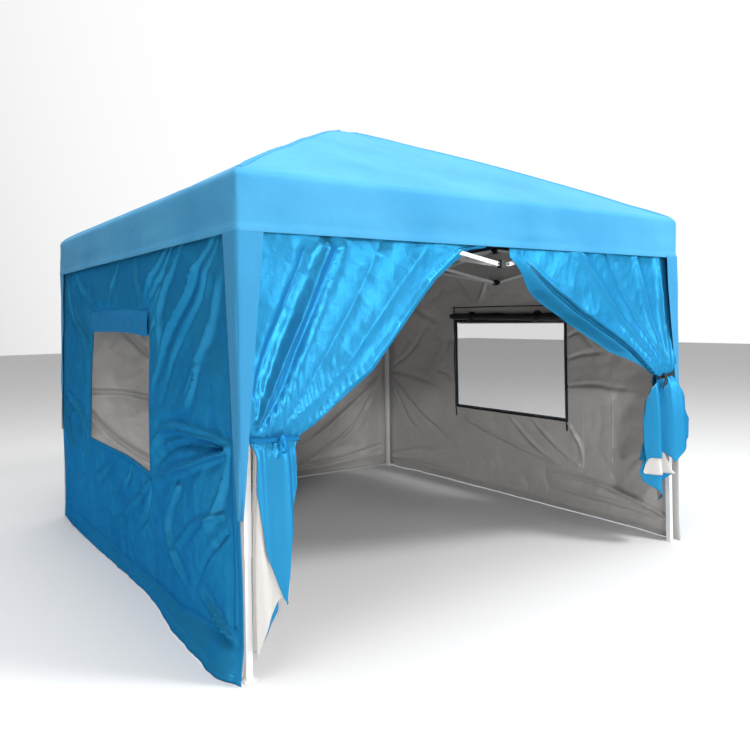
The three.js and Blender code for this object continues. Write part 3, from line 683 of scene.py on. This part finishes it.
def wallOut(wall, u, z):
    # distance out of a wall at (along, height): its plane, folds, slow billow, fine crumples and the flared skirt
    covered, seed = coverWidth(z), wall["seed"]
    calm = ease(panel["end"] - abs(u), covered * 0.7, covered + panel["calm"])
    flat = np.ones(np.broadcast(u, z).shape)
    if wall["window"] is not None:
        low, high, sill, head = windowEdges(wall)
        beside = np.maximum(np.maximum(low - u, u - high), 0)
        above = np.maximum(np.maximum(sill - z, z - head - panel["flapHeight"]), 0)
        flat = 0.12 + 0.88 * ease(np.hypot(beside, above), 0, 0.07)
    raised = foldHeight(u, z, wall["folds"], 0.8, 0.7) * panel["foldDepth"] + panel["crumpleDepth"] \
        * (patchNoise(u * 1.9 + 5, z * 1.9, seed) + crumple(u, z, 0.30, seed + 1))
    raised = np.clip(raised * ease(u, -1.75, -1.1), -0.04, 0.07)
    top = ease(z, canopy["wallTop"] - 0.15, canopy["wallTop"])
    # below its line the skirt turns out towards the ground, and just above it the cloth is tucked in
    line = readTable(u, wall["skirtLine"]) + 0.006 * patchNoise(u * 5, 0 * z, seed + 2)
    turn = np.clip((line - z) / line, 0, 1)
    flare = readTable(u, wall["skirt"])
    skirt = flare * turn ** 0.9 * (1 + 0.25 * patchNoise(u * 4, z * 3, seed + 4) * turn)
    skirt = skirt - 0.008 * bell(z, line + 0.014, 0.020) * calm
    lean = top * (panel["topPlane"] - canopy["wallPlane"]) \
        + 0.009 * ease(abs(u), 1.32, 1.46) * (1 - top) * ease(z, 0.3, 0.7)
    hung = 1 - ease(z, 1.62, 1.80) * 0.75
    return canopy["wallPlane"] + lean + raised * calm * flat * hung * (1 - top) + skirt


def wallPlaces(side, wall, u, z, offset=0.0):
    # the wall's points, each pulled a little within its plane by exp(-(d / 0.22)^2) of a pull at distance d
    pulledU, pulledZ = u * 1.0, z * 1.0
    for atU, atZ, pullU, pullZ in wall["pulls"]:
        share = np.exp(-((u - atU) ** 2 + (z - atZ) ** 2) / 0.22 ** 2)
        pulledU, pulledZ = pulledU + pullU * share, pulledZ + pullZ * share
    return onSide(side, wallOut(wall, u, z) + offset, pulledU, pulledZ)


def linesThrough(start, end, count, stops):
    # grid lines that pass through each stop, spread evenly between
    ends = [start, *stops, end]
    shares = [max(2, int(round(count * (b - a) / (end - start)))) for a, b in zip(ends[:-1], ends[1:])]
    runs = [np.linspace(a, b, n + 1)[:-1] for a, b, n in zip(ends[:-1], ends[1:], shares)]
    return np.append(np.concatenate(runs), end)


# The window: clear vinyl with a few creases from being rolled, lapped under a tape round the opening
window = {
    "lap": 0.008,
    "back": 0.004,  # the film lies this much behind the cloth
    "thickness": 0.0006,
    "bindingRings": (0.022, 0.012, 0.004, -0.004),  # distance out from the opening's edge
    "bindingFaces": (("outer", 0.0012, taffetaCloth), ("inner", -0.0026, blindCloth)),
}
for side, wall in walls.items():
    glazed = wall["window"] is not None
    low, high, sill, head = windowEdges(wall) if glazed else (0, 0, 0, 0)
    along = linesThrough(-panel["end"], panel["end"], panel["columns"], [low, high] if glazed else [])
    up = linesThrough(panel["bottom"], canopy["wallTop"], panel["rows"], [sill, head] if glazed else [])
    u, z = np.meshgrid(along, up)
    midU, midZ = (along[:-1] + along[1:]) / 2, (up[:-1] + up[1:]) / 2
    holes = ((midU > low) & (midU < high))[None, :] & ((midZ > sill) & (midZ < head))[:, None]
    cloth = sidePiece(side, side + "_wall_cloth", wallPlaces(side, wall, u, z), [taffetaCloth, silverCoat],
                      uv=np.stack([u, z], -1), holes=holes, thick=panel["thickness"])
    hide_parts(side + "_wall")
    if not glazed:
        continue

    lap, middle = window["lap"], wall["window"]
    u, z = np.meshgrid(np.linspace(low - lap, high + lap, 90), np.linspace(sill - lap, head + lap, 60))
    creases = [(4, 12, low, 1.04, middle, 1.03, high, 1.05), (3, 12, low, 0.93, middle, 0.86, high, 0.80),
               (3, 20, low + 0.1, 1.36, middle, 1.22, high, 1.17)]
    ripple = foldHeight(u, z, creases) + 0.003 * patchNoise(u * 4, z * 4, wall["seed"]) - window["back"]
    film = sidePiece(side, side + "_window_film", wallPlaces(side, wall, u, z, ripple), [vinylFilm], "window_film",
                     uv=np.stack([u, z], -1), thick=window["thickness"])
    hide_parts(side + "_window")

    t = np.linspace(0, 1, 60)[:-1, None]
    for face, offset, material in window["bindingFaces"]:
        rings = []
        for grow in window["bindingRings"]:
            corners = np.array([(low - grow, sill - grow), (high + grow, sill - grow), (high + grow, head + grow),
                                (low - grow, head + grow)])
            ring = np.concatenate([a * (1 - t) + b * t for a, b in zip(corners, np.roll(corners, -1, 0))])
            rings.append(wallPlaces(side, wall, ring[:, 0], ring[:, 1], offset))
        sidePiece(side, f"{side}_window_binding_{face}", np.array(rings), [material], around=True, thick=0.001)


def clothTape(name, side, wall, path, width, offset, material):
    # a tape sewn along a path of (along, height) on a wall, it follows the wall's shape
    line = smoothPath(path, 24 * len(path))
    ahead = np.gradient(line, axis=0)
    ahead /= np.linalg.norm(ahead, axis=1)[:, None]
    span = np.linspace(-width / 2, width / 2, 5)[None, :]
    u, z = line[:, :1] - ahead[:, 1:] * span, line[:, 1:] + ahead[:, :1] * span
    points = wallPlaces(side, wall, u, z, offset * (1 - 0.35 * (2 * span / width) ** 4))
    sidePiece(side, name, points[:, ::-1] if offset > 0 else points, [material], thick=0.0008)


# Tapes on the walls: (side, name, path, width mm, stand out mm, cloth), stand out below 0 is inside
hemPath = [(-1.45, 0.022), (-0.5, 0.022), (0.5, 0.022), (1.45, 0.022)]
tapes = [
    ("left", "seam_near_window", [(0.425, 0.65), (0.43, 0.35), (0.44, 0.1)], 12, 1.6, taffetaCloth),
    ("left", "seam_far_window", [(-0.73, 0.65), (-0.73, 0.35), (-0.73, 0.08)], 12, 1.6, taffetaCloth),
    ("left", "edge_band_near", [(1.43, 1.7), (1.43, 1.0), (1.43, 0.2)], 34, 1.6, taffetaCloth),
    ("left", "hem_band", hemPath, 26, 1.5, taffetaCloth),
    ("right", "blind_tape_back", [(0.53, 1.5), (0.53, 1.0), (0.53, 0.57)], 14, -3.0, webbing),
    ("right", "blind_tape_front", [(-0.64, 1.41), (-0.64, 1.0), (-0.64, 0.58)], 14, -3.0, webbing),
    ("right", "blind_seam", [(0.56, 1.49), (0.1, 1.492), (-0.45, 1.488)], 9, -3.0, webbing),
    ("right", "seam_low", [(-0.77, 0.82), (-0.775, 0.6), (-0.77, 0.33)], 9, -2.6, silverCoat),
    ("right", "seam_high", [(-1.02, 1.12), (-1.02, 0.8), (-1.015, 0.41)], 9, -2.6, silverCoat),
    ("right", "hem_band", hemPath, 26, -4.0, silverCoat),
    ("back", "hem_band", hemPath, 26, -4.0, silverCoat),
    ("back", "middle_seam", [(0.0, 1.8), (0.0, 1.0), (0.0, 0.05)], 12, 1.6, taffetaCloth),
]
for side, name, path, width, stand, material in tapes:
    clothTape(f"{side}_wall_{name}", side, walls[side], path, width / 1000, stand / 1000, material)
print("walls and windows made")

# Flap over each window outside, and the blind that is rolled up inside
flap = {"height": 0.115, "rise": 0.003, "inset": 0.01, "thickness": 0.001}
blind = {
    "radius": 0.024,
    "over": 0.04,  # past the opening at each end
    "height": 1.412,
    "plane": canopy["wallPlane"] - 0.034,
    "points": 120,
    "tieInset": 0.22,
    "tieRound": (0.030, 0.031),  # the tie's radius outwards and upwards
    "tieWidth": 0.018,
    "drop": 0.022,
}
for side, wall in walls.items():
    if wall["window"] is None:
        continue
    low, high, sill, head = windowEdges(wall)
    lidTop, seed = head + flap["height"], wall["seed"]
    u, z = np.meshgrid(np.linspace(low + flap["inset"], high - flap["inset"], 120),
                       np.linspace(head - 0.012, lidTop, 26))
    loose = flap["rise"] + 0.008 * np.maximum(0, crumple(u, z, 0.16, seed + 7)) \
        + 0.004 * abs(patchNoise(u * 6, z * 3, seed + 9))
    lift = 0.0025 + (1 - ease(z, lidTop - 0.03, lidTop)) * loose
    lid = sidePiece(side, side + "_window_flap", wallPlaces(side, wall, u, z, lift), [flapCloth, silverCoat],
                    uv=np.stack([u, z], -1), thick=flap["thickness"])

    # the roll: its radius with a spiral's step, lumps along its length, and rounded ends
    along = np.linspace(low - blind["over"], high + blind["over"], blind["points"])[:, None]
    turn = np.linspace(0, 2 * pi, 25)[:-1]
    lump = 1 + 0.14 * patchNoise(along * 9, np.cos(turn)[None, :] * 1.4 + 3, seed + 3) \
        + 0.05 * np.sin(along * 23 + 1)
    ends = np.sqrt(1 - np.clip(abs(np.linspace(-1, 1, blind["points"])) * 8 - 7, 0, 0.96) ** 2)[:, None]
    radius = blind["radius"] * (lump + 0.10 * turn / 2 / pi) * (0.55 + 0.45 * ends)
    rollUp = blind["height"] + 0.006 * np.sin(along * 3) + radius * np.sin(turn)
    roll = onSide(side, blind["plane"] + radius * np.cos(turn), along, rollUp)[:, ::-1]
    sidePiece(side, side + "_window_blind", roll, [blindCloth], around=True, capped=True)

    # two ties round the roll, each with an end that hangs down
    turn, fall = np.linspace(0, 2 * pi, 33), np.linspace(0, 1, 14)
    roundOut, roundUp = blind["tieRound"]
    for k, at in enumerate((low + blind["tieInset"], high - blind["tieInset"]), 1):
        ringUp = blind["height"] + 0.002 + roundUp * np.sin(turn)
        ring = onSide(side, blind["plane"] + roundOut * np.cos(turn), at, ringUp)
        loop = sweep(ring, flatProfile(0.0018, blind["tieWidth"]), up=(-sideTurns[side][1], sideTurns[side][0], 0))
        drop = onSide(side, blind["plane"] - roundOut - 0.006 * np.sin(fall * pi), at + 0.01 * fall,
                      blind["height"] - 0.02 - blind["drop"] * fall)
        end = sweep(drop, flatProfile(blind["tieWidth"], 0.002), up=(0.1, 1, 0))
        loop = loop[:-1].transpose(1, 0, 2)
        sidePiece(side, f"{side}_blind_tie_{k}", loop, [webbing], around=True, looped=True)
        sidePiece(side, f"{side}_blind_tie_end_{k}", end, [webbing], around=True, capped=True)
print("window flaps and blinds made")

# Door curtains: hung from the valance, drawn to a leg and tied. The width that is too much at each height is
# tucked in layers behind one long fold, and below the tie the layers hang as a tail
curtains = {
    "left": {
        "leg": -1,
        "tie": 0.94,
        "seed": 61,
        # the free edge down to the tie, then how much of the width lies before the long fold, top to tie
        "free": [(-0.08, 1.92), (-0.13, 1.755), (-0.232, 1.741), (-0.429, 1.591), (-0.555, 1.449),
                 (-0.704, 1.292), (-0.818, 1.185), (-0.98, 1.087), (-1.156, 0.975), (-1.224, 0.94)],
        "tuck": [(0.0, 0.96), (0.5, 0.945), (0.8, 0.91), (1.0, 1.0)],
        "foldRound": 0.016,
        "foldRise": 0.016,
        # the tail's layers: (height, outer edge, inner edge), then (share across, height) of the front one's hem
        "front": [(0.94, -1.424, -1.236), (0.746, -1.428, -1.23), (0.5, -1.386, -1.27), (0.29, -1.312, -1.297)],
        "rear": [(0.94, -1.424, -1.256), (0.746, -1.424, -1.262), (0.5, -1.43, -1.31), (0.29, -1.43, -1.33)],
        "hem": [(0, 0.31), (0.5, 0.28), (1, 0.29)],
        "rearEnds": (0.32, 0.09),
        "lowerBehind": 0.05,
        "folds": [(-40, 40, -1.4, 0.99, -1.29, 1.15, -1.15, 1.42, -1.00, 1.72),
                  (75, 32, -1.42, 1.00, -1.342, 1.171, -1.214, 1.428, -1.074, 1.707),
                  (-30, 40, -1.42, 1.12, -1.39, 1.22, -1.29, 1.44, -1.17, 1.7),
                  (20, 50, -1.31, 0.98, -1.05, 1.17, -0.78, 1.45, -0.55, 1.72),
                  (-16, 45, -1.3, 0.99, -1.16, 1.16, -0.95, 1.45, -0.78, 1.74),
                  (12, 30, -1.24, 0.96, -0.95, 1.12, -0.7, 1.36)],
        "waistDepth": 0.02,
        "pleat": 0.0025,
        "edgeTurn": 0.015,
        "strap": (-1.338, 0.112),  # middle and half width
        "knot": -1.315,
        "tieCloth": flapCloth,
        "grooves": [(-1.262, -0.018, 0.016), (-1.385, -0.012, 0.02), (-1.32, 0.012, 0.03)],  # (place, depth, width)
    },
    "right": {
        "leg": 1,
        "tie": 1.04,
        "seed": 71,
        "free": [(-0.055, 1.92), (-0.02, 1.75), (0.27, 1.55), (0.52, 1.42), (0.769, 1.299), (0.96, 1.195),
                 (1.13, 1.11), (1.27, 1.04)],
        "tuck": [(0.0, 0.95), (0.5, 0.915), (0.8, 0.84), (1.0, 1.0)],
        "foldRound": 0.02,
        "foldRise": 0.034,
        "front": [(1.04, 1.445, 1.27), (0.97, 1.45, 1.2), (0.88, 1.51, 1.17), (0.76, 1.585, 1.16),
                  (0.64, 1.58, 1.17), (0.5, 1.48, 1.21)],
        "rear": [(1.04, 1.435, 1.3), (0.9, 1.43, 1.26), (0.55, 1.38, 1.215), (0.46, 1.4, 1.18),
                 (0.4, 1.45, 1.2), (0.35, 1.46, 1.26), (0.24, 1.385, 1.37)],
        "hem": [(0, 0.64), (0.25, 0.5), (0.5, 0.57), (0.6, 0.54), (1, 0.55)],
        "rearEnds": (0.45, 0.43),
        "lowerBehind": 0.19,
        "folds": [(35, 40, 1.32, 1.04, 1.15, 1.22, 0.85, 1.5, 0.55, 1.78),
                  (-24, 35, 1.34, 1.1, 1.2, 1.3, 0.98, 1.55, 0.8, 1.78),
                  (26, 35, 1.36, 1.1, 1.25, 1.38, 1.1, 1.76),
                  (30, 35, 1.38, 1.08, 1.36, 1.45, 1.32, 1.78)],
        "waistDepth": 0.015,
        "pleat": 0.002,
        "edgeTurn": 0.085,
        "strap": (1.358, 0.082),
        "knot": 1.318,
        "tieCloth": webbing,
        "grooves": [(1.335, -0.06, 0.035), (1.25, 0.01, 0.04), (1.46, 0.03, 0.06), (1.15, -0.07, 0.07)],
    },
}
drape = {
    "width": 1.45,
    "length": 1.93,
    "legEdge": 1.480,
    "waist": 1.445,  # the leg's edge at the tie
    "plane": 1.472,
    "gatherOut": 0.034,  # the bundle stands out by this at the tie
    "pleatPitch": 0.034,
    "layers": 6,  # tucked behind the long fold, an even number
    "layerStep": 0.005,
    "columns": 285,
    "upperRows": 104,
    "tailRows": 64,
    "thickness": 0.001,
}


def throughLayers(passed):
    # cloth that has passed some of the layers: its share of them all, a zigzag from edge to edge, and how far it
    # has stepped back, by one layer at each turn in a short round
    count = drape["layers"]
    hidden = np.clip(passed / count, 0, 1)
    steps = sum(ease(passed, k - 0.1, k + 0.1) for k in range(count))
    return hidden, abs((hidden * count + 1) % 2 - 1), drape["layerStep"] * steps


def curtainPlaces(data):
    leg, tie, seed, layers = data["leg"], data["tie"], data["seed"], drape["layers"]
    cloth = np.linspace(0, 1, drape["columns"])[None, :] * drape["width"]  # distance across the cloth from the leg
    t = np.linspace(0, 1, drape["upperRows"])[:, None]
    t = 1 - (1 - t) ** 1.25  # rows lie closer together near the tie
    edge = np.array(data["free"])
    length = pathLengths(edge)
    freeU, freeZ = (np.interp(t * length[-1], length, edge[:, k]) for k in (0, 1))
    legU = leg * (drape["legEdge"] - (drape["legEdge"] - drape["waist"]) * ease(t, 0.8, 1))
    legZ = canopy["wallTop"] + (tie - canopy["wallTop"]) * t
    wide = np.hypot(freeU - legU, freeZ - legZ)
    spare = np.maximum(drape["width"] - wide, 1e-4)
    tuck = readTable(t, data["tuck"]) * wide
    _, zigzag, back = throughLayers((cloth - tuck) / spare * layers)
    beyond = np.maximum(cloth - tuck - spare, 0)
    layerWidth = np.minimum(spare / layers, tuck * 0.95)
    across = np.minimum(cloth, tuck) + beyond - layerWidth * (zigzag * 0.5 + 0.5 * ease(zigzag, 0, 1))
    u = legU + (freeU - legU) * across / wide
    z = legZ + (freeZ - legZ) * across / wide
    # the long fold: a round crest before the tuck, then the layers one behind the other, then back to the plane
    grown = ease(spare, 0.0, 0.35)
    toCrest = np.clip((tuck - cloth) / data["foldRound"], 0, 2)
    crest = np.sqrt(np.maximum(0, 1 - (toCrest - 1) ** 2)) ** 0.8 * data["foldRise"] * grown * (cloth < tuck)
    behind = -back * grown - data["edgeTurn"] * ease(beyond, 0, 0.09) * grown * (1 - ease(t, 0.75, 1))
    billow = 0.014 * patchNoise(u * 2.2, z * 2.2, seed) + 0.012 * crumple(u, z, 0.34, seed + 1)
    gather = ease(t, 0.55, 1)
    pleats = data["pleat"] * np.cos(u * 2 * pi / drape["pleatPitch"]) * gather
    moved = (foldHeight(u, z, data["folds"], 0.3) + billow) * ease(t, 0.0, 0.16) * (1 - 0.5 * gather) + pleats
    plane = drape["plane"] + 0.020 * ease(z, 1.85, 1.92) + drape["gatherOut"] * gather
    waist = data["waistDepth"] * bell(z, tie, 0.05) * ease(t, 0.6, 0.9)
    upper = plane + crest * (1 - gather) + behind + moved * ease(across, 0, 0.04) - waist
    # below the tie the front layer and the layers behind it each keep between their own edges
    frontShare = float(tuck[-1, 0] / drape["width"])
    t = np.linspace(0, 1, drape["tailRows"])[1:, None]
    inFront = np.clip(cloth / drape["width"] / frontShare, 0, 1)
    group = ease(cloth / drape["width"], frontShare * 0.9, frontShare * 1.1)
    passed = (cloth / drape["width"] - frontShare) / (1 - frontShare) * layers
    hidden, zigzag, back = throughLayers(passed)
    rearEnd = data["rearEnds"][0] + (data["rearEnds"][1] - data["rearEnds"][0]) * zigzag
    rearEnd = rearEnd - data["lowerBehind"] * (ease(hidden, 1 / layers, 2 / layers) - 1.4 * ease(passed, 2, 2.4))
    endZ = readTable(inFront, data["hem"]) * (1 - group) + rearEnd * group
    tailZ = tie + (endZ - tie) * t
    outer, inner = (readTable(tailZ, data["front"], k) for k in (1, 2))
    rearOuter, rearInner = (readTable(tailZ, data["rear"], k) for k in (1, 2))
    ahead = outer + (inner - outer) * inFront
    behindU = rearInner + (rearOuter - rearInner) * zigzag
    hanging = tie - tailZ
    blendIn = ease(hanging, 0, 0.055)
    tailU = u[-1:] * (1 - blendIn) + (ahead * (1 - group) + behindU * group) * blendIn
    spread = 1 + 0.9 * np.sin(hanging / hanging.max() * pi)
    wavy = 0.005 * np.cos(tailU * 52 + tailZ * 3 + 1.5) + 0.007 * patchNoise(tailU * 9, tailZ * 5, seed + 5)
    for middle, depth, width in data["grooves"]:
        wavy = wavy + depth * bell(tailU, middle + 0.04 * (hanging - 0.15), width)
    tailOut = plane[-1:] - back * spread + wavy * blendIn - data["waistDepth"] * bell(tailZ, tie, 0.05) \
        + data["pleat"] * np.cos(tailU * 2 * pi / drape["pleatPitch"]) * (1 - blendIn)
    return np.concatenate([upper, tailOut]), np.concatenate([u, tailU]), np.concatenate([z, tailZ])


# The tie: a narrow strap round the bundle and the leg, knotted in front, with two ends that hang down
curtainTie = {
    "plane": -1.482,
    "round": 0.022,
    "width": 0.014,
    "endPlane": -1.509,
    "ends": ((-0.018, 0.085), (0.014, 0.065)),  # how far each end leans and drops
    "endWidth": 0.016,
    "knotPlane": -1.512,
    "knot": (0.014, 0.010, 0.016),  # half sizes
}
for hand, data in curtains.items():
    out, across, level = curtainPlaces(data)
    places = onSide("front", out, across, level)[::-1]
    uv = np.stack(np.meshgrid(np.linspace(0, drape["width"], places.shape[1]),
                              np.linspace(0, drape["length"], places.shape[0])), -1)
    if data["leg"] > 0:
        places, uv = places[:, ::-1], uv[:, ::-1]
    cloth = sidePiece("front", hand + "_curtain_cloth", places, [taffetaCloth, silverCoat], uv=uv,
                      thick=drape["thickness"])
    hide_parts(hand + "_curtain")

    middle, half = data["strap"]
    turn, fall = np.linspace(0, 2 * pi, 61), np.linspace(0, 1, 18)
    ring = np.stack([middle + half * np.sign(np.cos(turn)) * abs(np.cos(turn)) ** 0.5,
                     curtainTie["plane"] - curtainTie["round"] * np.sign(np.sin(turn)) * abs(np.sin(turn)) ** 0.5,
                     data["tie"] + 0.003 * np.sin(turn * 2) + 0.012 * np.cos(turn) * data["leg"]], -1)
    strap = sweep(ring, flatProfile(0.002, curtainTie["width"]))[:-1].transpose(1, 0, 2)
    tieCloth = [data["tieCloth"]]
    sidePiece("front", hand + "_curtain_tie", strap, tieCloth, around=True, looped=True)
    for k, (lean, drop) in enumerate(curtainTie["ends"]):
        line = np.stack([data["knot"] + lean * fall, curtainTie["endPlane"] - 0.012 * np.sin(fall * pi) - 0.003 * k,
                         data["tie"] + 0.008 - drop * fall], -1)
        end = sweep(line, flatProfile(curtainTie["endWidth"], 0.002), up=(0, -1, 0))
        sidePiece("front", f"{hand}_curtain_tie_end_{k + 1}", end, tieCloth, around=True, capped=True)
    turn, lift = np.meshgrid(np.linspace(0, 2 * pi, 25)[:-1], np.linspace(-1.5, 1.5, 13))
    halfX, halfY, halfZ = curtainTie["knot"]
    knot = np.stack([data["knot"] + halfX * np.cos(lift) * np.cos(turn),
                     curtainTie["knotPlane"] + halfY * np.cos(lift) * np.sin(turn),
                     data["tie"] + halfZ * np.sin(lift) * (1 + 0.15 * np.cos(turn * 3))], -1)
    sidePiece("front", hand + "_curtain_knot", knot, tieCloth, around=True, capped=True)
print("curtains made")

# Floor and light: a pale floor and a soft studio
tree, finish = newMaterial("pale studio floor", Base_Color=hexColour("d8d8d8"), Roughness=0.8)
place = addNode(tree, "TexCoord").outputs["Object"]
soft = addNode(tree, "TexNoise", {"Vector": place, "Scale": 1.5, "Detail": 2.0})
bump = addNode(tree, "Bump", {"Height": soft.outputs["Fac"], "Strength": 0.02})
floorSize = 30.0
floorMesh = bpy.data.meshes.new("floor")
floorMesh.from_pydata([(x * floorSize, y * floorSize, 0) for x, y in ((-1, -1), (1, -1), (1, 1), (-1, 1))], [],
                      [(0, 1, 2, 3)])
floorMesh.materials.append(finish(Normal=bump.outputs["Normal"]))
addObject("floor", floorMesh)

world = bpy.data.worlds.new("studio")
bpy.context.scene.world = world
world.use_nodes = True
sky = world.node_tree
toward = addNode(sky, "VectorMath", {0: addNode(sky, "TexCoord").outputs["Generated"], 1: (0.85, 0.30, 0.35)},
                 operation="DOT_PRODUCT")
glow = addNode(sky, "MapRange", {0: toward.outputs["Value"], 1: -0.25, 2: 0.7, 3: 0.09, 4: 1.0},
               interpolation_type="SMOOTHSTEP")
sky.nodes["Background"].inputs["Color"].default_value = hexColour("ffffff")
sky.links.new(glow.outputs[0], sky.nodes["Background"].inputs["Strength"])
lights = {
    "key": {"place": (3.5, -6.0, 7.8), "aim": (0.3, 0, 1.2), "size": 1.8, "power": 540},
    "door": {"place": (3.4, -6.5, 2.4), "aim": (0.6, 0, 1.1), "size": 2.0, "power": 125},
    "top": {"place": (-2.2, -1.2, 7.5), "aim": (-0.6, -0.2, 1.0), "size": 5.0, "power": 430},
    "side": {"place": (-4.6, -9.2, 4.6), "aim": (-1.5, 0, 1.0), "size": 0.9, "power": 400},
}
for name, data in lights.items():
    lamp = bpy.data.lights.new(name, "AREA")
    lamp.size, lamp.energy = data["size"], data["power"]
    holder = addObject(name, lamp)
    holder.location = data["place"]
    aim = Vector(data["aim"]) - Vector(data["place"])
    holder.rotation_euler = aim.to_track_quat("-Z", "Y").to_euler()
bpy.context.scene.view_settings.view_transform = "Standard"
print("stage made")
